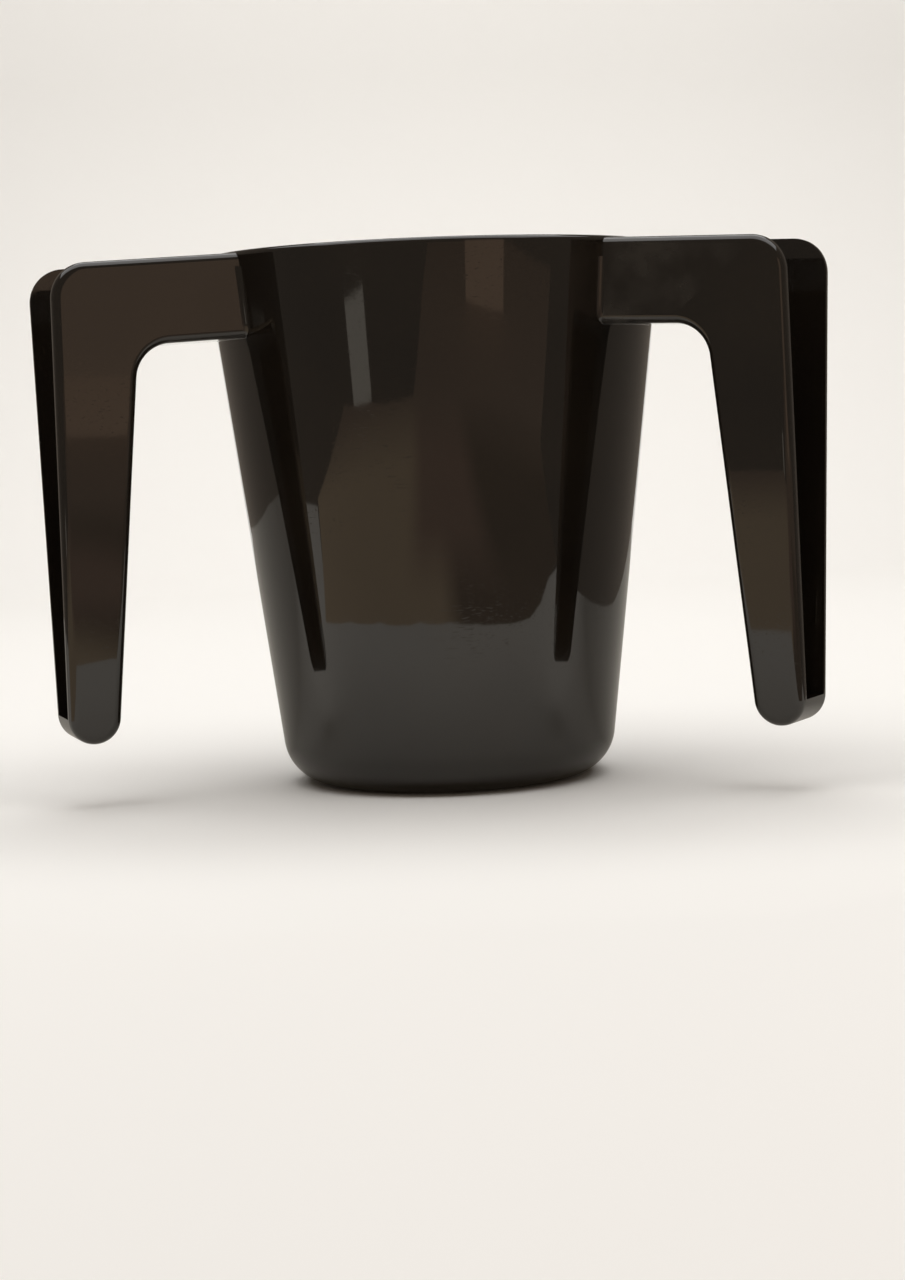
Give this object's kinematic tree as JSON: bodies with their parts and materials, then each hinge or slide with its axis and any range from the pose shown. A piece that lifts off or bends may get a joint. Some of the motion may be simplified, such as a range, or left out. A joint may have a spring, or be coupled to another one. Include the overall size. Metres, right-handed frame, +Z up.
{
  "type": "washing cup",
  "caption": "Tapered round washing cup in dark gloss plastic, with channel-section handles hanging from its rim on both sides for pouring water over each hand in turn.",
  "frame": {"origin": "middle of the foot, on the cup's axis, in the plane that the foot stands on", "axes": "+Z up along the cup's axis, +X to the right-hand handle, +Y away from the front; both handles sweep forward, towards -Y"},
  "size_m": [0.1894, 0.1116, 0.13],
  "materials": {
    "dark_gloss_plastic": "mirror-gloss moulded plastic, almost black with a warm brown cast"
  },
  "bodies": {
    "root": {"cup_body": "dark_gloss_plastic", "left_handle": "dark_gloss_plastic", "right_handle": "dark_gloss_plastic"}
  },
  "joints": []
}
